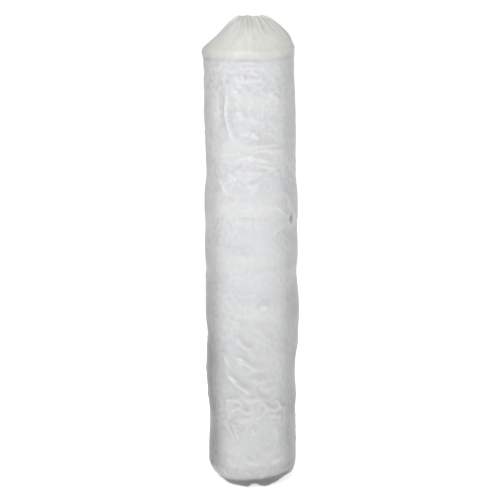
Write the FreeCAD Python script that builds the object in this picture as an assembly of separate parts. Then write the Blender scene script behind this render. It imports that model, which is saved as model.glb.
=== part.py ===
"""A pack of tree guard tubes: five hooped white tubes nested one inside the next, each with
two ratchet ties, in a clear film bag whose neck is gathered over the top.

Millimetres. +Z is up along the tubes, -Y is the front. The origin is on the tubes' axis, on the
surface that the pack stands on. Every piece is a solid of its own, written to parts/NAME.step.
"""

import FreeCAD
import Part

import math
import os

from FreeCAD import Vector

# ---- the tubes ----
tube_count = 5
tube_length = 586.0  # sold as 600
largest_hoop_diameter = 118.0  # over the hoops of the outermost tube
wall = 0.8
hoop_height = 3.0  # how far a hoop stands out of the tube's body
hoop_width = 26.0
hoop_pitch = 70.6
rim_to_first_hoop = 62.6  # from the rim's hoop down to the first full hoop
last_hoop_margin = 10.0  # least plain wall below the lowest hoop
nest_clearance = 1.0  # all round, between a tube's hoops and the bore it sits in
rim_lip = 4.0  # straight lip above the hoop at the rim
bead_radius = 1.2  # the rim is rolled inwards to this radius

# ---- the ratchet ties ----
strap_width = 4.8
strap_thickness = 1.1
strap_clearance = 0.15
head_length = 7.5
head_width = 7.0
head_rounding = 0.5
head_sunk = 0.2  # the head's base is this far past the strap's inner face, so that they join
crossing_inset = 0.2  # a strap's way through the wall ends this far inside the strap's faces
tail_length = 26.0
slot_clearance = 0.6  # all round the strap where it passes through the tube's wall
slot_spacing = 22.0  # between the two slots, along the tube's circumference
slots_beside_head = 26.0  # from the head to the middle of the slots, along the circumference
tie_gaps = {"upper": 2.5, "lower": 5.5}  # hoop pitches below the first full hoop
first_head_angle = 68.0  # degrees from +X, anticlockwise from above: round the back
head_angle_step = 104.0  # from one tie's head to the next, so that the heads don't stack up

# ---- the film bag ----
film_wall = 0.8  # stands for the film with its creases and folded-over layers
film_clearance = 1.0  # all round the hoops
foot_corner = 20.0
foot_floor = 12.0  # the bunched film under the tubes' ends
foot_height = 22.0  # the bag is slit here, so that it can be drawn off
slit_gap = 0.4
tuck_clearance = 2.0  # all round, between the film tucked up into the innermost bore and its wall
tuck_flare = 3.0  # the tuck's hollow is this much narrower under the film than the film is above it
tuck_height = 8.0
standing_gap = 0.3  # between the folded film and the tubes' ends
shoulder_gap = 1.0  # from the rims up to where the bag starts to narrow
neck_height = 41.0
neck_sections = [  # (share of neck_height, half length along X, half depth along Y)
    (0.15, 54.5, 54.5),
    (0.39, 46.5, 46.0),
    (0.53, 41.0, 39.5),
    (0.66, 34.5, 32.0),
    (0.78, 29.0, 22.5),
    (0.89, 23.5, 13.0),
    (1.00, 18.0, 7.0),
]

# ---- places worked out from the sizes above ----
UP = Vector(0, 0, 1)
ORIGIN = Vector(0, 0, 0)
tube_bottom = foot_floor + standing_gap
tube_top = tube_bottom + tube_length
rim_hoop_z = tube_top - rim_lip
first_hoop_z = rim_hoop_z - rim_to_first_hoop
nest_step = wall + nest_clearance + hoop_height
head_height = nest_clearance + hoop_height - 2 * standing_gap
film_bore = largest_hoop_diameter / 2 + film_clearance
film_radius = film_bore + film_wall
bag_bottom = foot_height + slit_gap
shoulder_z = tube_top + shoulder_gap


def body_radius(place):
    """Outer radius between the hoops of the tube at that place in the nest: 0 is the outermost."""
    return largest_hoop_diameter / 2 - hoop_height - place * nest_step


def hoop_heights():
    """Middles of the full hoops, from the top down. The rim's own half hoop isn't one of them."""
    lowest = tube_bottom + last_hoop_margin + hoop_width / 2
    count = int((first_hoop_z - lowest) / hoop_pitch + 1e-9) + 1
    return [first_hoop_z - hoop_pitch * n for n in range(count)]


def at(radius, z):
    """A point of a turned profile."""
    return Vector(radius, 0, z)


def line(start, end):
    return Part.makeLine(start, end)


def arc(start, middle, end):
    return Part.Arc(start, middle, end).toShape()


def turned(edges):
    """The solid made by turning a closed profile, drawn in the XZ plane, about the Z axis."""
    face = Part.Face(Part.Wire(edges))
    return face.revolve(ORIGIN, UP, 360)


def hooped_line(radius, hoops, bottom, top):
    """The side of a tube from the bottom up to the foot of the rim's hoop, with an arc at each hoop."""
    edges = []
    here = at(radius, bottom)
    for middle in sorted(hoops):
        foot = at(radius, middle - hoop_width / 2)
        head = at(radius, middle + hoop_width / 2)
        edges.append(line(here, foot))
        edges.append(arc(foot, at(radius + hoop_height, middle), head))
        here = head
    edges.append(line(here, at(radius, top)))
    return edges


def quarter_hoop(radius):
    """The arc from the tube's side out to the rim's lip."""
    half = hoop_width / 2
    bend = (half**2 + hoop_height**2) / (2 * hoop_height)
    half_way = half / 2
    out = hoop_height - bend + math.sqrt(bend**2 - half_way**2)
    return arc(
        at(radius, rim_hoop_z - half),
        at(radius + out, rim_hoop_z - half_way),
        at(radius + hoop_height, rim_hoop_z),
    )


def guard_tube(place):
    """One tube: a thin wall with formed hoops and a rim rolled inwards, and four slots for its ties."""
    outer = body_radius(place)
    inner = outer - wall
    hoops = hoop_heights()
    top_of_side = rim_hoop_z - hoop_width / 2
    lip = outer + hoop_height
    bead_z = tube_top - bead_radius
    under_bead = bead_z - math.sqrt(bead_radius**2 - (bead_radius - wall) ** 2)
    bead_side = at(lip - 2 * bead_radius, bead_z)
    slant = bead_radius * math.sin(math.radians(45))
    rim = [
        quarter_hoop(outer),
        line(at(lip, rim_hoop_z), at(lip, bead_z)),
        arc(at(lip, bead_z), at(lip - bead_radius, tube_top), bead_side),
        arc(
            bead_side,
            at(lip - bead_radius - slant, bead_z - slant),
            at(lip - wall, under_bead),
        ),
        line(at(lip - wall, under_bead), at(lip - wall, rim_hoop_z)),
        quarter_hoop(inner),
    ]
    edges = hooped_line(outer, hoops, tube_bottom, top_of_side)
    edges += rim
    edges += hooped_line(inner, hoops, tube_bottom, top_of_side)
    edges.append(line(at(outer, tube_bottom), at(inner, tube_bottom)))
    tube = turned(Part.__sortEdges__(edges))
    for level, angle in tie_places(place):
        for slot_angle in slot_angles(outer, angle):
            tube = tube.cut(slot_cutter(outer, level, slot_angle))
    return tube


def tie_places(place):
    """(height, head angle) of the tube's two ties."""
    places = []
    for number, gap in enumerate(tie_gaps.values()):
        turn = first_head_angle + head_angle_step * (2 * place + number)
        places.append((first_hoop_z - gap * hoop_pitch, turn))
    return places


def degrees_along(length, radius):
    return math.degrees(length / radius)


def slot_angles(radius, head_angle):
    middle = head_angle + degrees_along(slots_beside_head, radius)
    half = degrees_along(slot_spacing / 2, radius)
    return [middle - half, middle + half]


def radial_block(inner, outer, width, height, z, angle):
    """A block that points outwards at that angle, centred on z."""
    block = Part.makeBox(outer - inner, width, height, Vector(inner, -width / 2, z - height / 2))
    block.rotate(ORIGIN, UP, angle)
    return block


def slot_cutter(radius, z, angle):
    width = strap_thickness + 2 * slot_clearance
    height = strap_width + 2 * slot_clearance
    return radial_block(radius - 3 * wall, radius + 2 * wall, width, height, z, angle)


def strap_piece(inner, width, z, start, end):
    """A length of strap lying round the tube, from one angle to another."""
    corner = at(inner, z - width / 2)
    section = Part.makePlane(strap_thickness, width, corner, Vector(0, -1, 0), Vector(1, 0, 0))
    strap = section.revolve(ORIGIN, UP, end - start)
    strap.rotate(ORIGIN, UP, start)
    return strap


def ratchet_tie(place, z, head_angle):
    """A nylon tie round one tube: its strap goes in at one slot, out at the other, and through its head."""
    radius = body_radius(place)
    over = radius + strap_clearance
    under = radius - wall - strap_clearance - strap_thickness
    first, second = slot_angles(radius, head_angle)
    pieces = [
        strap_piece(over, strap_width, z, head_angle, first),
        strap_piece(under, strap_width, z, first, second),
        strap_piece(over, strap_width, z, second, head_angle + 360),
    ]
    for angle in (first, second):
        start = under + crossing_inset
        end = over + strap_thickness - crossing_inset
        pieces.append(radial_block(start, end, strap_thickness, strap_width - crossing_inset, z, angle))
    head_end = over + head_height - strap_clearance
    head = radial_block(over + head_sunk, head_end, head_length, head_width, z, head_angle)
    pieces.append(head.makeFillet(head_rounding, head.Edges))
    tail_inner = over + strap_thickness + strap_clearance
    tail_end = head_angle - degrees_along(tail_length, tail_inner)
    pieces.append(strap_piece(tail_inner, strap_width, z, tail_end, head_angle))
    return pieces[0].multiFuse(pieces[1:]).removeSplitter()


def film_foot():
    """The closed end of the bag under the tubes, folded flat, with its middle tucked up into the bore."""
    corner = film_radius - foot_corner
    inner_corner = foot_corner - film_wall
    floor_edge = corner + math.sqrt(inner_corner**2 - (foot_corner - foot_floor) ** 2)
    slope = math.radians(45)
    steep = (math.asin((floor_edge - corner) / inner_corner) + math.pi / 2) / 2
    tuck_top = tuck_height + foot_floor
    tuck_outer = body_radius(tube_count - 1) - wall - tuck_clearance
    tuck_radius = tuck_outer - tuck_flare
    edges = [
        arc_cap(tuck_radius, 0, tuck_height),
        line(at(tuck_radius, 0), at(corner, 0)),
        arc(
            at(corner, 0),
            at(corner + foot_corner * math.sin(slope), foot_corner * (1 - math.cos(slope))),
            at(film_radius, foot_corner),
        ),
        line(at(film_radius, foot_corner), at(film_radius, foot_height)),
        line(at(film_radius, foot_height), at(film_bore, foot_height)),
        line(at(film_bore, foot_height), at(film_bore, foot_corner)),
        arc(
            at(film_bore, foot_corner),
            at(corner + inner_corner * math.sin(steep), foot_corner - inner_corner * math.cos(steep)),
            at(floor_edge, foot_floor),
        ),
        line(at(floor_edge, foot_floor), at(tuck_outer, foot_floor)),
        arc_cap(tuck_outer, foot_floor, tuck_top),
        line(at(0, tuck_height), at(0, tuck_top)),
    ]
    return turned(Part.__sortEdges__(edges))


def arc_cap(half_width, low, high):
    """Half of a domed cap's section: from its edge at the low level to its top on the axis."""
    rise = high - low
    bend = (half_width**2 + rise**2) / (2 * rise)
    middle = half_width / 2
    return arc(at(half_width, low), at(middle, high - bend + math.sqrt(bend**2 - middle**2)), at(0, high))


def oval(half_length, half_depth, z):
    """A closed oval wire, longer along X, or a circle where both halves are the same."""
    if abs(half_length - half_depth) < 1e-6:
        edge = Part.Circle(Vector(0, 0, z), UP, half_length).toShape()
    else:
        edge = Part.Ellipse(Vector(half_length, 0, z), Vector(0, half_depth, z), Vector(0, 0, z)).toShape()
    return Part.Wire(edge)


def bag_form(grown, bottom):
    """The solid inside the bag's outer surface, with that much added all round."""
    radius = film_radius + grown
    sleeve = Part.makeCylinder(radius, shoulder_z - bottom, Vector(0, 0, bottom))
    lower = oval(radius, radius, shoulder_z)
    form = sleeve
    for share, half_length, half_depth in neck_sections:
        rise = (neck_height + grown) * share
        upper = oval(half_length + grown, half_depth + grown, shoulder_z + rise)
        form = form.fuse(Part.makeLoft([lower, upper], True))
        lower = upper
    return form


def film_bag():
    """The bag above the slit: a plain sleeve, and the neck gathered into a narrow crest."""
    return bag_form(0, bag_bottom).cut(bag_form(-film_wall, bag_bottom - 1))


def save(name, shape):
    shape.exportStep(os.path.join("parts", name + ".step"))
    print(name, "valid" if shape.isValid() else "NOT VALID", len(shape.Solids), round(shape.Volume, 1))


def main():
    os.makedirs("parts", exist_ok=True)
    for place in range(tube_count):
        save(f"guard_tube_{place + 1}", guard_tube(place))
        for level, (z, angle) in zip(tie_gaps, tie_places(place)):
            save(f"tie_{place + 1}_{level}", ratchet_tie(place, z, angle))
    save("film_bag", film_bag())
    save("film_foot", film_foot())


main()
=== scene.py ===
"""Looks of a pack of tree guard tubes: the wrinkled film bag, the ribbed tubes and their ties.

Metres, +Z up along the tubes, -Y is the front. Places round the film are given in degrees from
the front, positive to the right as seen from the front.
"""

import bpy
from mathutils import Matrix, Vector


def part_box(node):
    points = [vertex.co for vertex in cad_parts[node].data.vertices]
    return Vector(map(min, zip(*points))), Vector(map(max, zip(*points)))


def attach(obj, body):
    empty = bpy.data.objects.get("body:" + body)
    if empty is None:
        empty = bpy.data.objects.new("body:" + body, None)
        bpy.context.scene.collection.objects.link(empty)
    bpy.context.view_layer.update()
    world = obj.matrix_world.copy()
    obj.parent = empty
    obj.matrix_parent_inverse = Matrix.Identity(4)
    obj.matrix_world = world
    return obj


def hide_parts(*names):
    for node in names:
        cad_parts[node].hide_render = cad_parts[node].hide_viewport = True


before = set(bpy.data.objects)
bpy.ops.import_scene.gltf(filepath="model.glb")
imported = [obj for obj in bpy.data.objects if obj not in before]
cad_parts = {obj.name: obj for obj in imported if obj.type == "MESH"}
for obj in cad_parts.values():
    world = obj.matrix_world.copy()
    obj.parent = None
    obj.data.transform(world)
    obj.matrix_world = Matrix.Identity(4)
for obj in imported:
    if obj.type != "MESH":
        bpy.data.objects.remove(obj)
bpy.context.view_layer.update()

import math

import bpy
import numpy as np
from mathutils import Vector

bl_info = {
    "name": "Packed tree guard tubes",
    "version": (1, 0, 0),
    "blender": (4, 5, 0),
    "location": "View3D > Sidebar > Tree guards",
    "description": "Builds the film bag of a pack of tree guard tubes and finishes the tubes and ties",
    "category": "Object",
}

MM = 0.001
TUBES = [f"guard_tube_{n}" for n in range(1, 6)]
TIES = [f"tie_{n}_{level}" for n in range(1, 6) for level in ("upper", "lower")]

tube_low, tube_high = (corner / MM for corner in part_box("guard_tube_1"))
TUBE_BOTTOM, TUBE_TOP, HOOP_RADIUS = tube_low.z, tube_high.z, tube_high.x
BAG_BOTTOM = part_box("film_bag")[0].z / MM
FOOT_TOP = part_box("film_foot")[1].z / MM
FULL_HOOPS = 8

FILM_OUTSIDE_HOOPS = 0.95  # millimetres, from a hoop's top to the middle of its swells
FILM_SAG = 1.05  # how much further in the film lies midway between two hoops
FILM_LEAST_GAP = 0.35  # between the film and the tubes, at its deepest wrinkle


# ---------------------------------------------------------------- settings


class FilmSettings(bpy.types.PropertyGroup):
    """Sizes and colours of the film bag."""

    thickness: bpy.props.FloatProperty(
        name="Thickness", description="Thickness of the film with its creases",
        default=0.00025, min=0.0001, max=0.001, unit="LENGTH", precision=5)
    columns: bpy.props.IntProperty(
        name="Columns", description="Faces round the film", default=300, min=60, max=600)
    row_height: bpy.props.FloatProperty(
        name="Row height", description="Height of one row of faces along the sleeve",
        default=0.0014, min=0.0008, max=0.01, unit="LENGTH", precision=4)
    slack: bpy.props.FloatProperty(
        name="Slack", description="How far the loose film stands in and out between the hoops",
        default=0.0013, min=0.0, max=0.004, unit="LENGTH", precision=4)
    crumple: bpy.props.FloatProperty(
        name="Crumple", description="Height of the small creases all over the film",
        default=0.00042, min=0.0, max=0.002, unit="LENGTH", precision=5)
    pleat: bpy.props.FloatProperty(
        name="Pleats", description="Depth of the pleats where the neck is gathered",
        default=0.0024, min=0.0, max=0.004, unit="LENGTH", precision=4)
    clear_colour: bpy.props.FloatVectorProperty(
        name="Film", description="Colour of the film where it isn't loose", subtype="COLOR",
        size=4, min=0.0, max=1.0, default=(0.73, 0.735, 0.748, 1.0))
    loose_colour: bpy.props.FloatVectorProperty(
        name="Loose film", description="Colour of the film where it hangs in loose layers",
        subtype="COLOR", size=4, min=0.0, max=1.0, default=(0.69, 0.69, 0.65, 1.0))
    haze: bpy.props.FloatProperty(
        name="Haze", description="How much the plain film hides what is behind it",
        default=0.58, min=0.0, max=1.0, subtype="FACTOR")


class TubeSettings(bpy.types.PropertyGroup):
    """Look of the tubes' plastic."""

    colour: bpy.props.FloatVectorProperty(
        name="Plastic", description="Colour of the tubes' white plastic", subtype="COLOR",
        size=4, min=0.0, max=1.0, default=(0.68, 0.69, 0.705, 1.0))
    hoop_pitch: bpy.props.FloatProperty(
        name="Hoop pitch", description="From one hoop's middle to the next",
        default=0.0706, min=0.02, max=0.2, unit="LENGTH", precision=4)
    first_hoop: bpy.props.FloatProperty(
        name="First hoop", description="From the rim's hoop down to the first full hoop",
        default=0.0626, min=0.02, max=0.2, unit="LENGTH", precision=4)
    hoop_width: bpy.props.FloatProperty(
        name="Hoop width", description="Height of one hoop along the tube",
        default=0.026, min=0.005, max=0.06, unit="LENGTH", precision=4)
    hoop_height: bpy.props.FloatProperty(
        name="Hoop height", description="How far a hoop stands out of the tube",
        default=0.003, min=0.0, max=0.01, unit="LENGTH", precision=4)
    rim_lip: bpy.props.FloatProperty(
        name="Rim lip", description="From the rim hoop's middle up to the tube's end",
        default=0.004, min=0.0, max=0.02, unit="LENGTH", precision=4)


class TieSettings(bpy.types.PropertyGroup):
    """Look of the ratchet ties."""

    colour: bpy.props.FloatVectorProperty(
        name="Nylon", description="Colour of the ties' natural nylon", subtype="COLOR",
        size=4, min=0.0, max=1.0, default=(0.74, 0.73, 0.67, 1.0))
    tooth_pitch: bpy.props.FloatProperty(
        name="Tooth pitch", description="From one ratchet tooth to the next along the strap",
        default=0.0012, min=0.0005, max=0.004, unit="LENGTH", precision=4)
    strap_radius: bpy.props.FloatProperty(
        name="Strap radius", description="Radius at which the teeth have that pitch",
        default=0.052, min=0.01, max=0.1, unit="LENGTH", precision=4)


class StageSettings(bpy.types.PropertyGroup):
    """Floor, light and camera."""

    floor_colour: bpy.props.FloatVectorProperty(
        name="Floor", description="Colour of the floor", subtype="COLOR",
        size=4, min=0.0, max=1.0, default=(0.93, 0.93, 0.93, 1.0))
    floor_glow: bpy.props.FloatProperty(
        name="Floor glow", description="Light that the floor gives off, so that it stays pale",
        default=0.63, min=0.0, max=2.0)
    sky: bpy.props.FloatProperty(
        name="Sky", description="Strength of the even light from all round",
        default=0.42, min=0.0, max=2.0)
    lens: bpy.props.FloatProperty(
        name="Lens", description="Focal length of the camera's lens, in millimetres",
        default=125.2, min=20.0, max=300.0)
    distance: bpy.props.FloatProperty(
        name="Camera distance", description="Level distance from the tubes' axis to the camera",
        default=2.289, min=0.5, max=10.0, unit="LENGTH")
    aside: bpy.props.FloatProperty(
        name="Camera aside", description="How far the camera stands to the right of the axis",
        default=0.0031, min=-1.0, max=1.0, unit="LENGTH", precision=4)
    height: bpy.props.FloatProperty(
        name="Camera height", description="Height of the camera above the floor",
        default=0.869, min=0.0, max=5.0, unit="LENGTH")
    pitch: bpy.props.FloatProperty(
        name="Camera pitch", description="How far the camera looks down",
        default=math.radians(13.43), min=-1.5, max=1.5, subtype="ANGLE")
    roll: bpy.props.FloatProperty(
        name="Camera roll", description="How far the camera is turned about its own axis",
        default=math.radians(0.5), min=-0.5, max=0.5, subtype="ANGLE")


# ---------------------------------------------------------------- shader maths


class Value:
    """A shader socket that Python's operators work on. Each operation adds a Math node."""

    def __init__(self, finish, socket):
        self.finish = finish
        self.socket = socket

    def maths(self, operation, first, second):
        return self.finish.node("ShaderNodeMath", {"operation": operation}, first, second)

    def __add__(self, other):
        return self.maths("ADD", self, other)

    def __radd__(self, other):
        return self.maths("ADD", other, self)

    def __sub__(self, other):
        return self.maths("SUBTRACT", self, other)

    def __rsub__(self, other):
        return self.maths("SUBTRACT", other, self)

    def __mul__(self, other):
        return self.maths("MULTIPLY", self, other)

    def __rmul__(self, other):
        return self.maths("MULTIPLY", other, self)


class Finish:
    """A material under construction."""

    def __init__(self, name):
        self.material = bpy.data.materials.new(name)
        self.material.use_nodes = True
        self.tree = self.material.node_tree
        self.tree.nodes.clear()

    def node(self, kind, settings=None, *values, out=0, **named):
        """Adds a node: its settings first, then the values or links of its sockets."""
        made = self.tree.nodes.new(kind)
        for key, setting in (settings or {}).items():
            setattr(made, key, setting)
        for number, value in enumerate(values):
            self.feed(made.inputs[number], value)
        for key, value in named.items():
            self.feed(made.inputs[key.replace("_", " ")], value)
        return Value(self, made.outputs[out]) if made.outputs else None

    def feed(self, socket, value):
        if isinstance(value, Value):
            self.tree.links.new(value.socket, socket)
        elif value is not None:
            socket.default_value = value

    def place(self):
        """The point on the surface, in the object's own metres."""
        return self.node("ShaderNodeTexCoord", out=3)

    def stretched(self, point, scale):
        return self.node("ShaderNodeVectorMath", {"operation": "MULTIPLY"}, point, scale)

    def noise(self, point, scale, detail=3.0, roughness=0.5, distortion=0.0):
        return self.node("ShaderNodeTexNoise", None, Vector=point, Scale=scale,
                         Detail=detail, Roughness=roughness, Distortion=distortion)

    def limited(self, value, low, high, to_low=0.0, to_high=1.0):
        """The value carried from one range to another, and held inside it."""
        return self.node("ShaderNodeMapRange", {"clamp": True}, value, low, high, to_low, to_high)

    def stored(self, name):
        """A number kept on the mesh's points."""
        return self.node("ShaderNodeAttribute", {"attribute_name": name}, out=2)

    def blend(self, share, first, second):
        """A colour between two. The mixing node's colours are its seventh and eighth sockets."""
        unused = (None,) * 5
        return self.node("ShaderNodeMix", {"data_type": "RGBA"}, share, *unused, first, second, out=2)

    def bump(self, height, distance, strength=1.0, under=None):
        return self.node("ShaderNodeBump", None, Height=height, Distance=distance,
                         Strength=strength, Normal=under)

    def show(self, surface):
        self.node("ShaderNodeOutputMaterial", None, surface)
        return self.material


def film_finish(settings):
    """Thin polythene: milky, clearest where it lies tight on a hoop, whitest along its creases, partly by
    painted highlight, and darkened by painted shade.
    """
    film = Finish("film")
    point = film.place()
    tight = film.stored("tight")
    loose = film.stored("loose")
    crease_and_highlight = film.stored("crease_and_highlight")
    painted_shade = film.stored("painted_shade")
    cloud = film.noise(point, 45.0, 3.0, 0.55)
    wisps = film.noise(film.stretched(point, (1.0, 1.0, 0.35)), 260.0, 4.0, 0.6, 0.6)
    fine = film.noise(film.stretched(point, (1.0, 1.0, 1.6)), 520.0, 3.0, 0.55, 1.2)
    colour = film.blend(loose, tuple(settings.clear_colour), tuple(settings.loose_colour))
    colour = film.blend(film.limited(cloud, 0.35, 0.7, 0.0, 0.25), colour, (0.76, 0.76, 0.755, 1.0))
    colour = film.blend(0.38 * tight, colour, (0.90, 0.90, 0.895, 1.0))
    # Whiter along creases: partly the film's own whitening where it is folded, partly painted highlight on
    # fold crests and convex relief.
    colour = film.blend(0.40 * crease_and_highlight, colour, (0.93, 0.93, 0.93, 1.0))
    # Painted shade: the film darkened towards near black, and made less clear, where the fourth field is
    # high.
    colour = film.blend(painted_shade, colour, (0.17, 0.17, 0.16, 1.0))
    rough = film.limited(cloud, 0.3, 0.7, 0.18, 0.27) + 0.24 * loose
    normal = film.bump(wisps, 0.0005, 0.10)
    normal = film.bump(fine, 0.0002, 0.08, normal)
    plastic = film.node("ShaderNodeBsdfPrincipled", None, Base_Color=colour, Roughness=rough,
                        IOR=1.5, Normal=normal)
    clear = film.node("ShaderNodeBsdfTransparent")
    share = settings.haze - 0.14 * tight + 0.30 * loose + 0.15 * crease_and_highlight + 0.30 * painted_shade
    share = film.limited(share + film.limited(wisps, 0.3, 0.7, -0.02, 0.02), 0.0, 1.0)
    return film.show(film.node("ShaderNodeMixShader", None, share, clear, plastic))


def tube_finish(settings):
    """White polypropylene with the faint lines that its extrusion leaves along it."""
    tube = Finish("tube_plastic")
    point = tube.place()
    lines = tube.noise(tube.stretched(point, (1.0, 1.0, 0.012)), 900.0, 2.0, 0.5)
    mottle = tube.noise(point, 60.0, 4.0, 0.6)
    grain = tube.noise(point, 1400.0, 2.0, 0.5)
    white = tuple(settings.colour)
    colour = tube.blend(tube.limited(mottle, 0.3, 0.75, 0.0, 0.6), white, (0.74, 0.74, 0.735, 1.0))
    rough = tube.limited(lines, 0.3, 0.7, 0.34, 0.46) + tube.limited(grain, 0.3, 0.7, -0.03, 0.03)
    normal = tube.bump(lines, 0.0003, 0.15)
    normal = tube.bump(grain, 0.00008, 0.3, normal)
    return tube.show(tube.node("ShaderNodeBsdfPrincipled", None, Base_Color=colour,
                               Roughness=rough, IOR=1.49, Normal=normal))


def tie_finish(settings):
    """Natural nylon with its ratchet teeth across the strap."""
    tie = Finish("nylon")
    point = tie.place()
    across, along = (tie.node("ShaderNodeSeparateXYZ", None, point, out=n) for n in (0, 1))
    turn = tie.node("ShaderNodeMath", {"operation": "ARCTAN2"}, along, across)
    teeth_per_radian = settings.strap_radius / settings.tooth_pitch
    teeth = tie.node("ShaderNodeMath", {"operation": "SINE"}, turn * (2 * math.pi * teeth_per_radian))
    cloud = tie.noise(point, 220.0, 3.0, 0.5)
    colour = tie.blend(tie.limited(cloud, 0.3, 0.7), tuple(settings.colour), (0.80, 0.79, 0.74, 1.0))
    normal = tie.bump(teeth, 0.00018, 0.6)
    return tie.show(tie.node("ShaderNodeBsdfPrincipled", None, Base_Color=colour,
                             Roughness=tie.limited(cloud, 0.3, 0.7, 0.28, 0.40),
                             IOR=1.53, Normal=normal))


# ---------------------------------------------------------------- the film's shape

# Half widths of the gathered neck in millimetres, from a little under the rim up to the crest and a
# little way down inside it: (height, left, right, front and back, depth of the pleats as a share).
NECK = (
    (574.0, 60.0, 59.4, 59.8, 0.00),
    (583.0, 60.2, 59.2, 59.8, 0.02),
    (590.0, 61.2, 60.0, 60.4, 0.03),
    (595.0, 61.0, 60.0, 60.4, 0.04),
    (598.4, 59.2, 59.2, 59.4, 0.06),
    (601.6, 55.4, 57.8, 57.6, 0.09),
    (605.6, 51.2, 56.0, 54.8, 0.13),
    (610.0, 46.0, 54.2, 51.0, 0.18),
    (615.3, 40.3, 50.8, 45.6, 0.25),
    (621.0, 34.8, 45.4, 39.0, 0.34),
    (626.4, 29.4, 39.2, 31.2, 0.46),
    (631.0, 24.4, 32.4, 22.8, 0.58),
    (635.2, 19.8, 25.0, 13.0, 0.65),
    (637.4, 17.2, 19.6, 6.4, 0.60),
    (638.2, 15.2, 14.6, 3.2, 0.45),
    (637.6, 14.2, 12.6, 1.8, 0.30),
    (634.6, 13.5, 12.0, 1.2, 0.20),
    (631.0, 13.0, 11.6, 1.0, 0.10),
)

# The foot, from just over the slit down, under the tubes and up into the middle one: (height, radius).
FOOT = (
    (24.0, 59.8),
    (20.0, 59.2),
    (16.0, 58.0),
    (12.4, 56.4),
    (9.6, 53.8),
    (7.0, 50.6),
    (4.6, 47.0),
    (2.4, 43.2),
    (0.8, 39.4),
    (0.2, 36.0),
    (0.6, 32.5),
    (2.2, 29.0),
    (5.0, 22.0),
    (6.8, 14.0),
    (7.6, 6.0),
    (7.8, 1.5),
)

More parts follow.
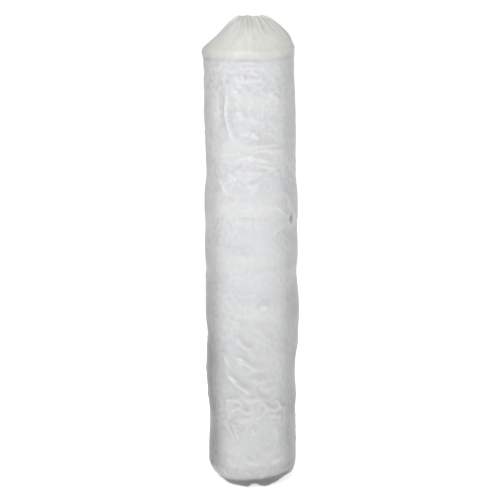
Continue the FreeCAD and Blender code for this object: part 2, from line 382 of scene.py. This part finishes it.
# Folds of the film: points as (degrees, height), how far it stands up, and its width on the one
# side and the other, first the left of someone who follows the points. The heights are multiplied
# by FOLD_HEIGHT and the widths by FOLD_WIDTH.
FOLD_HEIGHT, FOLD_WIDTH = 2.3, 1.35
FOLDS = (
    # the long fold down the upper left, the edge of a loose layer
    (((-10, 472), (-21, 480), (-27, 490), (-30, 508), (-31, 530), (-30, 552), (-27, 572)), 2.1, 2.2, 3.2),
    (((-48, 498), (-44, 520), (-46, 556)), 0.8, 4.0, 3.0),
    # short creases across the front, just below the rim
    (((-14, 584), (-2, 586), (12, 584)), 0.5, 1.6, 1.6),
    (((-13, 578), (2, 578), (17, 577)), 0.5, 1.4, 1.6),
    (((-9, 571), (4, 572), (16, 570)), 0.5, 1.4, 1.6),
    # arcs under them, and the creases beside the long fold
    (((-25, 571), (-13, 556), (-2, 540)), 0.9, 2.4, 3.0),
    (((-27, 561), (-20, 546), (-8, 533)), 0.8, 2.2, 3.0),
    (((-16, 573), (-6, 560), (9, 557)), 0.8, 2.2, 3.0),
    (((-11, 560), (4, 563), (22, 561)), 0.7, 2.6, 2.6),
    (((-22, 524), (-10, 514), (2, 512)), 0.7, 2.6, 3.4),
    (((-4, 518), (8, 508), (20, 505)), 0.7, 2.6, 3.4),
    (((24, 548), (32, 538), (44, 534)), 0.6, 3.0, 4.0),
    (((-18, 497), (-6, 492), (4, 494)), 0.7, 2.4, 2.6),
    (((-4, 487), (5, 489), (15, 486)), 1.5, 2.2, 2.2),
    # the bundle across the third hoop
    (((-15, 475), (9, 476), (46, 474)), 0.8, 2.0, 2.4),
    (((-7, 468), (16, 469), (56, 466)), 0.7, 1.6, 2.2),
    (((-17, 460), (6, 458), (36, 455)), 0.8, 2.2, 2.4),
    (((-2, 451), (19, 448), (54, 445)), 0.6, 2.0, 2.4),
    (((-12, 443), (6, 440), (24, 438)), 0.5, 2.0, 2.6),
    # creases below it
    (((-45, 436), (-36, 423), (-26, 406)), 1.2, 3.6, 4.4),
    (((-11, 422), (1, 421), (15, 423)), 0.8, 2.6, 2.6),
    (((-32, 446), (-22, 434), (-12, 428)), 0.7, 2.6, 3.4),
    (((18, 432), (8, 420), (-4, 408)), 0.5, 3.0, 4.0),
    (((-38, 388), (-12, 380), (16, 379), (46, 382)), -0.3, 2.4, 2.0),
    # folds that run to the small dent
    (((60, 376), (48, 384), (34, 392), (20, 394)), 0.6, 2.2, 3.0),
    (((60, 370), (46, 366), (28, 356), (16, 350)), 0.5, 2.2, 3.0),
    (((64, 380), (58, 398), (50, 412)), 0.6, 2.2, 3.0),
    # slanting creases lower down
    (((-20, 334), (-6, 326), (8, 328)), 0.4, 3.0, 4.0),
    (((10, 261), (18, 258), (26, 253)), 0.7, 2.2, 2.6),
    (((-36, 246), (-24, 236), (-12, 230)), 0.6, 2.6, 3.6),
    (((-28, 218), (-13, 207), (6, 196)), 1.7, 2.6, 2.4),
    (((-30, 195), (-16, 182), (1, 174), (26, 172)), 1.5, 2.8, 2.8),
    (((-42, 176), (-29, 159), (-16, 146), (6, 134)), 2.2, 3.0, 2.8),
    (((-42, 196), (-36, 182), (-30, 172)), 0.9, 2.6, 3.0),
    (((-4, 158), (12, 152), (28, 156)), 0.6, 2.8, 3.0),
    (((8, 146), (24, 141), (38, 146)), 0.6, 2.8, 3.0),
    # the crumpled band round the lowest hoop but one
    (((-41, 124), (-26, 129), (-10, 125)), 1.0, 2.0, 2.2),
    (((-17, 133), (1, 128), (19, 130)), 0.9, 2.0, 2.4),
    (((-35, 111), (-20, 116), (-7, 111), (6, 115)), 1.1, 2.0, 2.2),
    (((-29, 101), (-10, 99), (6, 104)), 1.0, 2.2, 2.2),
    (((14, 119), (28, 113), (47, 117)), 1.0, 2.0, 2.2),
    (((16, 105), (31, 106), (43, 98)), 1.0, 2.0, 2.4),
    (((10, 128), (18, 118), (22, 106)), 0.8, 1.8, 2.2),
    (((34, 128), (38, 118), (50, 108)), 0.8, 1.8, 2.2),
    (((-39, 102), (-32, 86), (-24, 68)), 1.7, 1.8, 2.0),
    (((-29, 100), (-23, 86), (-17, 68)), 1.7, 1.6, 1.8),
    (((-2, 92), (2, 84), (4, 74)), 0.6, 2.0, 2.4),
    (((28, 92), (32, 80), (36, 66)), 0.6, 2.0, 2.6),
    # the film drawn in round the foot
    (((-36, 49), (-30, 39), (-21, 29)), 0.9, 2.2, 2.6),
    (((-13, 42), (0, 40), (13, 42)), 0.8, 2.4, 2.6),
    (((21, 36), (33, 40), (47, 44)), 0.8, 2.4, 2.6),
    (((-46, 30), (-40, 22), (-34, 14)), 0.8, 2.0, 2.4),
    (((-12, 28), (-6, 22), (-4, 14)), 0.6, 2.0, 2.4),
    (((18, 28), (14, 22), (12, 14)), 0.6, 2.0, 2.4),
    # round the back
    (((118, 560), (136, 540), (160, 530)), 0.9, 2.5, 5.0),
    (((200, 575), (184, 548), (176, 505)), 1.0, 6.0, 2.4),
    (((128, 470), (150, 458), (178, 462), (206, 452)), 0.8, 2.2, 3.0),
    (((134, 455), (160, 446), (190, 449), (214, 440)), 0.7, 2.2, 3.0),
    (((226, 440), (212, 412), (196, 396)), 0.8, 2.5, 4.0),
    (((150, 400), (166, 380), (186, 370)), 0.9, 2.2, 4.5),
    (((208, 350), (190, 330), (170, 322)), 0.8, 2.2, 4.5),
    (((126, 300), (146, 282), (168, 274)), 1.0, 2.0, 5.0),
    (((204, 262), (188, 240), (166, 228)), 0.9, 2.0, 5.0),
    (((132, 216), (150, 196), (176, 184)), 1.0, 2.0, 5.0),
    (((216, 190), (200, 166), (180, 152)), 1.0, 2.0, 5.0),
    (((140, 128), (158, 110), (182, 104)), 0.8, 2.0, 3.5),
    (((190, 122), (204, 104), (222, 98)), 0.8, 2.0, 3.5),
    (((150, 60), (168, 44), (190, 38)), 0.8, 2.4, 3.6),
    (((92, 520), (100, 480), (96, 440)), 0.8, 3.0, 5.0),
    (((94, 250), (104, 210), (100, 170)), 0.8, 3.0, 5.0),
    (((262, 540), (254, 500), (262, 452)), 0.9, 3.0, 5.0),
    (((258, 320), (266, 280), (256, 240)), 0.8, 3.0, 5.0),
)

# Where the film stands off or is drawn in over a wider place: (degrees, height, how far, how wide
# round, how tall), all but the first in millimetres.
SWELLS = (
    (-88, 592, 1.6, 20, 7),
    (-60, 540, 1.4, 22, 60),
    (-78, 500, 1.0, 20, 26),
    (-82, 455, -0.8, 16, 10),
    (-86, 400, 1.9, 24, 44),
    (-86, 320, 2.2, 26, 70),
    (-86, 220, 2.6, 26, 62),
    (84, 575, -1.0, 24, 26),
    (88, 400, 1.8, 22, 34),
    (86, 330, 3.2, 26, 70),
    (88, 230, 4.4, 24, 46),
    (86, 166, -1.6, 20, 16),
    (84, 125, 0.6, 18, 14),
    (-86, 140, 2.4, 20, 30),
    (-86, 96, -1.2, 20, 18),
    (88, 94, -1.6, 18, 14),
    (86, 44, -0.6, 20, 18),
    (-84, 36, 0.9, 20, 18),
    (180, 330, 1.3, 40, 60),
    (170, 560, 1.2, 40, 30),
    (200, 200, 1.2, 36, 50),
)

# Where the film is crumpled most: (height, how tall, how much more), in millimetres.
WRINKLED = (
    (108, 20, 0.8),
    (448, 18, 0.5),
    (548, 34, 0.9),
    (30, 22, 0.6),
)

# The third field is crease whitening with painted highlight, the fourth is painted shade.
FIELDS = ("tight", "loose", "crease_and_highlight", "painted_shade")  # kept on the film's points for its material

# The dent is dark only from painted shadow in the shade field.
DENT = (63, 373)  # degrees and height of a small dark dent, just under the fourth hoop


def smooth(share):
    share = np.clip(share, 0.0, 1.0)
    return share * share * (3.0 - 2.0 * share)


NOISE_START = -400.0  # the noise's lowest height, well below the film's


def film_noise(turn, height, cells_round, cell_height, seed):
    """Smooth noise from about -1 to 1 over the unrolled film, which meets itself all round.

    turn is in whole turns, height and cell_height in millimetres."""
    across = (turn % 1.0) * cells_round
    up = (height - NOISE_START) / cell_height
    rows = int(np.ceil(up.max())) + 2
    angle = np.random.default_rng(seed).uniform(0.0, 2 * math.pi, (rows, cells_round))
    column, row = np.floor(across).astype(int), np.floor(up).astype(int)
    fx, fy = across - column, up - row
    total = np.zeros_like(fx)
    wx, wy = fx**3 * (fx * (fx * 6 - 15) + 10), fy**3 * (fy * (fy * 6 - 15) + 10)
    for dx in (0, 1):
        for dy in (0, 1):
            lean = angle[row + dy, (column + dx) % cells_round]
            value = np.cos(lean) * (fx - dx) + np.sin(lean) * (fy - dy)
            total += value * (wx if dx else 1 - wx) * (wy if dy else 1 - wy)
    return total * 1.5


def creases(turn, height, cells_round, cell_height, seed):
    """Sharp ridges between flat facets, from 0 to 1, as crumpled film has."""
    return 1.0 - np.minimum(1.0, np.abs(film_noise(turn, height, cells_round, cell_height, seed)) * 2.2)


def softened(field, reach=3):
    """The field averaged over its neighbours, along the film and round it."""
    last = len(field) - 1
    near = range(-reach, reach + 1)
    along = sum(field[np.clip(np.arange(last + 1) + step, 0, last)] for step in near) / len(near)
    return sum(np.roll(along, step, axis=1) for step in near) / len(near)


def hoop_middles(tube):
    """Heights of the rim's hoop and the full hoops, from the top down, in millimetres."""
    rim = TUBE_TOP - tube.rim_lip / MM
    first = rim - tube.first_hoop / MM
    return [rim] + [first - n * tube.hoop_pitch / MM for n in range(FULL_HOOPS)]


def from_nearest_hoop(tube, height):
    """How far a height is from the middle of the nearest hoop, in millimetres."""
    return np.min([np.abs(height - middle) for middle in hoop_middles(tube)], axis=0)


def tube_radius(tube, height):
    """Outer radius of the outermost tube at a height, in millimetres."""
    half, stands = tube.hoop_width / MM / 2, tube.hoop_height / MM
    bend = (half**2 + stands**2) / (2 * stands)
    out = np.zeros_like(height)
    for n, middle in enumerate(hoop_middles(tube)):
        away = np.abs(height - middle)
        if n == 0:
            away = np.where(height > middle, 0.0, away)
        arc = np.sqrt(np.maximum(bend**2 - away**2, 0.0)) - (bend - stands)
        out = np.maximum(out, np.where(away < half, arc, 0.0))
    return HOOP_RADIUS - stands + out


def bridging(tube, height):
    """Radius of film pulled straight from hoop to hoop, with a little sag between them."""
    share = from_nearest_hoop(tube, height) / (tube.hoop_pitch / MM)
    sag = smooth((share - 0.12) / 0.38)
    return HOOP_RADIUS + FILM_OUTSIDE_HOOPS - FILM_SAG * sag


def round_from(degrees, start):
    """Millimetres round the film from one angle to others, positive to the right."""
    return ((degrees - start + 180.0) % 360.0 - 180.0) * math.radians(1.0) * HOOP_RADIUS


def fold_height(degrees, height, points, stands, left, right):
    """How far one fold lifts the film, by distance from its line on either side, and how white its crest is,
    partly painted highlight.
    """
    line = [(round_from(around, points[0][0]), up) for around, up in points]
    across = round_from(degrees, points[0][0])
    reach = 5.0 * max(left, right)
    wides, lows = zip(*line)
    near = ((height > min(lows) - reach) & (height < max(lows) + reach)
            & (across > min(wides) - reach) & (across < max(wides) + reach))
    x, y = across[near], height[near]
    best, side, along = np.full(x.shape, np.inf), np.zeros(x.shape), np.zeros(x.shape)
    whole = sum(math.dist(start, end) for start, end in zip(line[:-1], line[1:]))
    done = 0.0
    for start, end in zip(line[:-1], line[1:]):
        length = math.dist(start, end)
        dx, dy = (end[0] - start[0]) / length, (end[1] - start[1]) / length
        px, py = x - start[0], y - start[1]
        t = np.clip(px * dx + py * dy, 0.0, length)
        away = np.hypot(px - t * dx, py - t * dy)
        closer = away < best
        best = np.where(closer, away, best)
        side = np.where(closer, dx * py - dy * px, side)
        along = np.where(closer, (done + t) / whole, along)
        done += length
    share = best / (FOLD_WIDTH * np.where(side > 0, left, right))
    taper = smooth(along / 0.4) * smooth((1.0 - along) / 0.45)
    lift, ridge = np.zeros(across.shape), np.zeros(across.shape)
    lift[near] = FOLD_HEIGHT * stands * taper / (1.0 + share**2) * np.exp(-share / 3.0)
    # Whiter crest along the fold, partly painted highlight.
    ridge[near] = 0.5 * taper * np.exp(-share**2) * min(1.0, max(stands, 0.0))
    return lift, ridge


def rings_between(given, spacing, least):
    """Rings in equal steps from each given ring to the next, without the last one."""
    rings = []
    for low, high in zip(given[:-1], given[1:]):
        steps = max(least, round(math.hypot(high[0] - low[0], high[3] - low[3]) / spacing))
        rings += [low + (high - low) * n / steps for n in range(steps)]
    return rings


def bag_rows(film, tube):
    """Rings of the smooth bag from under its foot to inside its crest, and the number of the sleeve's first.

    A ring is (height, half width left, right, front, depth of the pleats as a share)."""
    spacing = film.row_height / MM
    foot = np.array([(height, radius, radius, radius, 0.0) for height, radius in FOOT[::-1]])
    neck = np.array(NECK)
    start, end = foot[-1][0], neck[0][0]
    count = round((end - start) / spacing)
    sleeve = [(start + (end - start) * n / count, -1.0, -1.0, -1.0, 0.0) for n in range(count)]
    rows = np.array(rings_between(foot, 1.3 * spacing, 1) + sleeve
                    + rings_between(neck, spacing, 2) + [neck[-1]])
    on_sleeve = rows[:, 1] < 0
    for side in (1, 2, 3):
        rows[on_sleeve, side] = bridging(tube, rows[on_sleeve, 0])
    for _ in range(6):  # rounds the corners between the given rings
        rows[1:-1] = (rows[:-2] + 2 * rows[1:-1] + rows[2:]) / 4
    return rows, int(np.argmax(on_sleeve))


class Wrap:
    """The whole bag as rows of points from under its foot to inside its crest, in millimetres.

    The steps of shape() move the smooth bag's points in and out by what they add to lift."""

    def __init__(self, film, tube):
        self.film, self.tube = film, tube
        rows, first = bag_rows(film, tube)
        height, left, right, front, self.pleats = (rows[:, n][:, None] for n in range(5))
        self.degrees = np.arange(film.columns)[None, :] * 360.0 / film.columns + 0 * height
        self.angle = np.radians(self.degrees)
        self.around = (self.degrees + 180.0) % 360.0 - 180.0
        self.turn = self.degrees / 360.0
        half = right + (left - right) * (0.5 - 0.5 * np.sin(self.angle))
        x, y = half * np.sin(self.angle), -front * np.cos(self.angle)
        self.z = height + 0 * x
        self.base = np.stack([x, y, self.z], axis=-1)
        # how far along the film a row is, equal to the height at the sleeve's first row
        step = np.linalg.norm(np.diff(self.base[:, 0], axis=0), axis=1)
        along = np.concatenate([[0.0], np.cumsum(step)])
        self.up = (along - along[first] + rows[first, 0])[:, None] + 0 * x
        self.left = left
        self.beside_tubes = left > 50
        self.on_sleeve = (smooth((self.z - 14) / 14) * smooth((TUBE_TOP + 6 - self.z) / 16)
                          * self.beside_tubes)
        self.from_hoop = from_nearest_hoop(tube, self.up)
        self.free = smooth((self.from_hoop - 6.0) / 14.0)
        across = round_from(self.degrees, DENT[0])
        self.from_dent = np.hypot(across, (self.up - DENT[1]) * 0.6)
        self.lift = np.zeros_like(self.z)
        self.ridges = np.zeros_like(self.z)

    def noise(self, cells_round, cell_height, seed, shift=0.0):
        return film_noise(self.turn + shift, self.up, cells_round, cell_height, seed)

    def swell(self):
        """Slow swells of the slack film between the hoops."""
        self.swells = self.noise(7, 62.0, 3) + 0.6 * self.noise(13, 34.0, 4)
        self.lift += self.film.slack / MM * self.swells * (0.25 + 0.75 * self.free) * self.on_sleeve

    def crumple(self):
        """Small sharp creases all over, and long shallow folds, most slanting down to the right."""
        warp = 0.012 * self.noise(9, 40.0, 8)
        sharp = (creases(self.turn + warp, self.up, 22, 15.0, 11)
                 + 0.6 * creases(self.turn - warp, self.up, 40, 9.0, 12)
                 + 0.35 * creases(self.turn, self.up, 74, 5.5, 13))
        zones = 0.45 + 0.55 * smooth(0.5 + self.noise(5, 70.0, 21))
        for middle, tall, share in WRINKLED:
            zones = zones + share * np.exp(-((self.up - middle) / tall) ** 2)
        held = 0.45 + 0.55 * self.free
        facing = 0.45 + 0.55 * smooth((np.abs(np.cos(self.angle)) - 0.25) / 0.4)
        self.lift += (self.film.crumple / MM * (sharp - 0.9) * zones * held * facing
                      * (0.35 + 0.65 * self.on_sleeve))
        # The sharpest crumple ridges made whiter, partly as painted highlight.
        self.ridges = 0.35 * np.clip(sharp - 1.1, 0, 1) * zones
        slant = self.up / (2 * math.pi * HOOP_RADIUS)
        right = 1.0 - 2.6 * np.abs(self.noise(19, 52.0, 81, 0.9 * slant + warp))
        left = 1.0 - 2.6 * np.abs(self.noise(27, 44.0, 82, -0.5 * slant + warp))
        long = np.clip(right, 0, 1) ** 2 + 0.7 * np.clip(left, 0, 1) ** 2
        drape = smooth(0.4 + 1.3 * self.noise(6, 58.0, 83))
        self.lift += 0.5 * (long - 0.3) * drape * held * self.on_sleeve

    def pucker(self):
        """Fine puckers where the bridging film is gathered beside each hoop."""
        beside = np.exp(-((self.from_hoop - 9.0) / 8.0) ** 2)
        self.lift += 0.22 * self.noise(96, 26.0, 31) * beside * self.on_sleeve

    def fold(self):
        """The folds at their own places, their lines made unsteady, then swells and the dent."""
        degrees = self.degrees + 2.4 * self.noise(16, 22.0, 91) + 1.0 * self.noise(40, 9.0, 92)
        up = self.up + 2.6 * self.noise(18, 24.0, 93) + 1.1 * self.noise(44, 10.0, 94)
        for points, stands, wide_left, wide_right in FOLDS:
            fold, ridge = fold_height(degrees, up, points, stands, wide_left, wide_right)
            self.lift += fold
            self.ridges = np.maximum(self.ridges, ridge)
        for around, height, stands, wide, tall in SWELLS:
            across = round_from(self.degrees, around)
            self.lift += stands * np.exp(-(across / wide) ** 2 - ((self.up - height) / tall) ** 2)
        self.lift -= 2.2 * np.exp(-(self.from_dent / 3.0) ** 2)
        self.lift += 0.8 * np.exp(-((self.from_dent - 7.0) / 3.0) ** 2)

    def gather(self):
        """Pleats drawn together towards the crest, and under the foot."""
        sway = 0.01 * self.noise(6, 30.0, 41)
        pleat = (self.noise(14, 40.0, 42, 2 * sway) + 0.7 * self.noise(31, 40.0, 43, -sway)
                 + 0.25 * self.noise(64, 30.0, 44))
        pleat = np.sign(pleat) * np.abs(pleat) ** 0.8
        self.lift += self.film.pleat / MM * self.pleats * pleat
        # The pleats' crests made whiter, partly as painted highlight.
        self.ridges = np.maximum(self.ridges, 0.8 * self.pleats * np.clip(pleat, 0, 1))
        under = smooth((22 - self.z) / 16) * (self.z < 25) * (self.left > 8)
        self.lift -= 0.9 * under * (self.noise(30, 60.0, 51) - 0.2) * smooth((60 - self.left) / 16)

    def outward(self):
        """The smooth bag's outward direction at each point."""
        along = np.gradient(self.base, axis=0)
        across = np.roll(self.base, -1, axis=1) - np.roll(self.base, 1, axis=1)
        out = np.cross(across, along)
        return out / np.maximum(np.linalg.norm(out, axis=-1, keepdims=True), 1e-9)

    def draw_up_foot(self, place):
        """The foot stands fuller in front and behind, and is caught up at the middle of its front."""
        low = smooth((14.0 - self.z) / 14.0) * smooth((self.left - 20.0) / 14.0)
        place[..., :2] *= (1.0 + 0.26 * np.cos(self.angle) ** 2 * low)[..., None]
        corner = np.exp(-((self.z - 2.0) / 9.0) ** 2) * (self.left > 30)
        across = round_from(self.degrees, 0.0)
        caught = 4.2 / (1.0 + ((across - 2.0) / 7.0) ** 4)
        drawn = 3.0 * smooth((across - 22.0) / 40.0) + 1.5 * smooth((-across - 40.0) / 30.0)
        place[..., 2] += (caught + drawn) * corner * smooth((self.left - 28) / 8)

    def keep_clear(self, place):
        """Nothing goes through the tubes, or under the floor."""
        radius = np.hypot(place[..., 0], place[..., 1])
        height = place[..., 2]
        beside = self.beside_tubes & (height < TUBE_TOP + 0.4) & (height > TUBE_BOTTOM - 0.4)
        least = tube_radius(self.tube, height) + FILM_LEAST_GAP
        push = np.where(beside & (radius < least), least / np.maximum(radius, 1e-6), 1.0)
        place[..., :2] *= push[..., None]
        under_tubes = ~self.beside_tubes & (radius > 30) & (height < 100)
        height = np.where(under_tubes, np.minimum(height, TUBE_BOTTOM - 0.5), height)
        place[..., 2] = np.maximum(height, 0.0)

    def shape(self):
        """The bag's points with all their wrinkles."""
        self.swell()
        self.crumple()
        self.pucker()
        self.fold()
        self.gather()
        relief = self.lift - softened(softened(self.lift))
        # Convex relief made whiter as painted highlight.
        self.ridges = np.maximum(self.ridges, np.clip(0.5 * relief, 0.0, 0.6))
        # Hollows of the relief, kept for painted shade.
        self.hollow = np.clip(-2.2 * relief, 0.0, 1.0)
        place = self.base + self.outward() * self.lift[..., None]
        self.draw_up_foot(place)
        self.keep_clear(place)
        return place

    def looseness(self):
        """Loose layers: over the rim, down a strip at the upper left, and on the flanks."""
        over_rim = smooth((self.z - TUBE_TOP + 10) / 10.0)
        strip = smooth((-40 - self.around) / 12.0) * smooth((self.up - 440) / 50.0)
        flanks = 0.55 * smooth((np.abs(self.around) - 48) / 22.0)
        return np.maximum(over_rim, np.maximum(0.5 * strip, flanks))

    def shade(self, patches):
        """Painted shade, darkening the film: on the flanks, towards the foot and along its bottom edge, in
        hollows and the dent, and on both sides of the rim.
        """
        z, sine = self.z, np.sin(self.angle)
        flank = smooth((np.abs(self.around) - 30) / 44.0)
        flank *= 1.0 - 0.55 * smooth((np.abs(self.around) - 100) / 50.0)
        # Painted shade on the flanks and towards the foot, where less light falls.
        dark = smooth((420 - z) / 360.0) * (0.17 + 0.38 * flank)
        dark += (0.37 - 0.15 * sine) * flank * self.on_sleeve
        dark *= 1.0 + 0.2 * self.noise(9, 46.0, 71)
        # Painted shade along the foot, darkest at its bottom edge.
        dark += 0.5 * smooth((40 - z) / 34.0) * (0.6 + 0.4 * sine)
        dark += smooth((18 - z + 5 * sine) / 10.0)
        # Painted shadow in the dent, and painted shade in the hollows of the relief.
        dark += 0.5 * np.exp(-(self.from_dent / 2.8) ** 2) + 0.16 * self.hollow
        # Painted shadow under the rim hoop, and painted shade over the rim at front and back.
        below_rim = np.exp(-((z - TUBE_TOP + 12 + 2.0 * self.swells) / 2.4) ** 2)
        dark += 0.16 * below_rim * (1.0 + 0.6 * patches)
        over_rim = np.exp(-((z - TUBE_TOP - 1) / 6.0) ** 2)
        return dark + 0.16 * over_rim * np.cos(self.angle) ** 2

    def fields(self):
        """For each point how tight and loose the film is, how white its creases and painted highlights make
        it, and how much painted shade it has, from 0 to 1.
        """
        patches = 0.8 + 0.35 * self.noise(11, 50.0, 61)
        tight = smooth(1.25 - self.from_hoop / 13.5) * np.clip(patches, 0.0, 1.0)
        tight *= smooth((TUBE_TOP - 16 - self.z) / 14.0)
        found = (tight, self.looseness(), self.ridges, self.shade(patches))
        return dict(zip(FIELDS, (np.clip(field, 0.0, 1.0) for field in found)))


def film_piece(name, place, fields, rows, close=False):
    """A mesh from some rows of the bag's points, with the numbers that its material reads."""
    block = place[rows] * MM
    count, columns = block.shape[:2]
    faces = []
    for low in range(0, (count - 1) * columns, columns):
        for column in range(columns):
            beside = (column + 1) % columns
            high = low + columns
            faces.append((low + column, low + beside, high + beside, high + column))
    if close:
        faces.append(tuple(reversed(range(columns))))
    mesh = bpy.data.meshes.new(name)
    mesh.from_pydata(block.reshape(-1, 3).tolist(), [], faces)
    mesh.validate()
    for key, field in fields.items():
        layer = mesh.attributes.new(key, "FLOAT", "POINT")
        layer.data.foreach_set("value", field[rows].reshape(-1).astype(np.float32))
    mesh.polygons.foreach_set("use_smooth", [True] * len(mesh.polygons))
    piece = bpy.data.objects.new(name, mesh)
    bpy.context.scene.collection.objects.link(piece)
    return piece


# ---------------------------------------------------------------- operators


class BuildFilm(bpy.types.Operator):
    """Builds the film bag and its foot as one wrinkled surface, parted at the slit"""

    bl_idname = "tree_guard.build_film"
    bl_label = "Film bag and foot"

    def execute(self, context):
        film = context.scene.guard_film
        wrap = Wrap(film, context.scene.guard_tube)
        place = wrap.shape()
        fields = wrap.fields()
        slit = int(np.argmin(np.abs(wrap.up[:, 0] - (FOOT_TOP + BAG_BOTTOM) / 2)))
        finish = film_finish(film)
        bag = film_piece("film_bag_wrap", place, fields, slice(slit, None))
        foot = film_piece("film_foot_wrap", place, fields, slice(0, slit + 1), close=True)
        for piece, node, body in ((bag, "film_bag", "bag"), (foot, "film_foot", "nest")):
            piece.data.materials.append(finish)
            skin = piece.modifiers.new("film", "SOLIDIFY")
            skin.thickness = film.thickness
            skin.offset = -1.0
            skin.use_rim = False
            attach(piece, body)
            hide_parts(node)
        return {"FINISHED"}


def dress(names, finish):
    """Puts one material on those nodes of the frame."""
    for name in names:
        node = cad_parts[name]
        node.data.materials.clear()
        node.data.materials.append(finish)


class FinishTubes(bpy.types.Operator):
    """Gives the five tubes their white plastic"""

    bl_idname = "tree_guard.finish_tubes"
    bl_label = "Tubes"

    def execute(self, context):
        dress(TUBES, tube_finish(context.scene.guard_tube))
        return {"FINISHED"}


class FinishTies(bpy.types.Operator):
    """Gives the ratchet ties their nylon"""

    bl_idname = "tree_guard.finish_ties"
    bl_label = "Ties"

    def execute(self, context):
        dress(TIES, tie_finish(context.scene.guard_tie))
        return {"FINISHED"}


FLOOR_REACH = 14.0
LIGHTS_AIM = Vector((0, 0, 0.45))
LIGHTS = (  # name, place, size, watts
    ("key", (-0.8, -1.9, 1.8), 0.8, 18.5),
    ("strip", (-0.6, -3.0, 2.0), 0.3, 20.0),
    ("fill", (1.5, -2.4, 1.1), 1.0, 4.5),
    ("top", (0.0, -0.4, 2.6), 1.2, 6.0),
    ("back", (0.5, 2.4, 1.6), 1.8, 3.0),
)


def lay_floor(stage):
    mesh = bpy.data.meshes.new("floor")
    far = FLOOR_REACH
    corners = [(-far, -far, 0), (far, -far, 0), (far, far, 0), (-far, far, 0)]
    mesh.from_pydata(corners, [], [(0, 1, 2, 3)])
    floor = bpy.data.objects.new("floor", mesh)
    bpy.context.scene.collection.objects.link(floor)
    paper = Finish("floor")
    tone = paper.limited(paper.noise(paper.place(), 3.0, 2.0), 0.3, 0.7)
    colour = paper.blend(tone, tuple(stage.floor_colour), (0.95, 0.95, 0.95, 1.0))
    mesh.materials.append(paper.show(
        paper.node("ShaderNodeBsdfPrincipled", None, Base_Color=colour, Roughness=0.9,
                   Emission_Color=(1.0, 1.0, 1.0, 1.0), Emission_Strength=stage.floor_glow)))


def hang_lights(stage):
    world = bpy.data.worlds.new("studio")
    world.use_nodes = True
    sky = world.node_tree.nodes["Background"]
    sky.inputs["Color"].default_value = (1.0, 1.0, 1.0, 1.0)
    sky.inputs["Strength"].default_value = stage.sky
    bpy.context.scene.world = world
    for name, place, size, watts in LIGHTS:
        data = bpy.data.lights.new(name, "AREA")
        data.size = size
        data.energy = watts
        lamp = bpy.data.objects.new(name, data)
        lamp.location = place
        lamp.rotation_euler = (LIGHTS_AIM - Vector(place)).to_track_quat("-Z", "Y").to_euler()
        bpy.context.scene.collection.objects.link(lamp)


def stand_camera(stage):
    data = bpy.data.cameras.new("camera")
    data.lens = stage.lens
    data.sensor_width = 36.0
    data.clip_end = 60.0
    camera = bpy.data.objects.new("camera", data)
    camera.location = (stage.aside, -stage.distance, stage.height)
    camera.rotation_mode = "XYZ"
    camera.rotation_euler = (math.pi / 2 - stage.pitch, stage.roll, 0.0)
    bpy.context.scene.collection.objects.link(camera)
    bpy.context.scene.camera = camera


class SetStage(bpy.types.Operator):
    """Lays the floor, hangs the lights and stands the camera up"""

    bl_idname = "tree_guard.set_stage"
    bl_label = "Stage"

    def execute(self, context):
        context.scene.view_settings.view_transform = "Standard"
        stage = context.scene.guard_stage
        lay_floor(stage)
        hang_lights(stage)
        stand_camera(stage)
        return {"FINISHED"}


class GuardPanel(bpy.types.Panel):
    """Lists the pack's pieces and their settings"""

    bl_idname = "VIEW3D_PT_tree_guard"
    bl_label = "Tree guards"
    bl_space_type = "VIEW_3D"
    bl_region_type = "UI"
    bl_category = "Tree guards"

    def draw(self, context):
        scene = context.scene
        for operator, settings in PARTS:
            box = self.layout.box()
            box.operator(operator.bl_idname)
            group = getattr(scene, settings)
            for name in group.__annotations__:
                box.prop(group, name)


GROUPS = (
    ("guard_film", FilmSettings),
    ("guard_tube", TubeSettings),
    ("guard_tie", TieSettings),
    ("guard_stage", StageSettings),
)
PARTS = (
    (BuildFilm, "guard_film"),
    (FinishTubes, "guard_tube"),
    (FinishTies, "guard_tie"),
    (SetStage, "guard_stage"),
)


def register():
    for name, group in GROUPS:
        bpy.utils.register_class(group)
        setattr(bpy.types.Scene, name, bpy.props.PointerProperty(type=group))
    for operator, _ in PARTS:
        bpy.utils.register_class(operator)
    bpy.utils.register_class(GuardPanel)


def unregister():
    bpy.utils.unregister_class(GuardPanel)
    for operator, _ in reversed(PARTS):
        bpy.utils.unregister_class(operator)
    for name, group in reversed(GROUPS):
        delattr(bpy.types.Scene, name)
        bpy.utils.unregister_class(group)


def main():
    register()
    bpy.ops.tree_guard.build_film()
    bpy.ops.tree_guard.finish_tubes()
    bpy.ops.tree_guard.finish_ties()
    bpy.ops.tree_guard.set_stage()


if __name__ == "__main__":
    main()
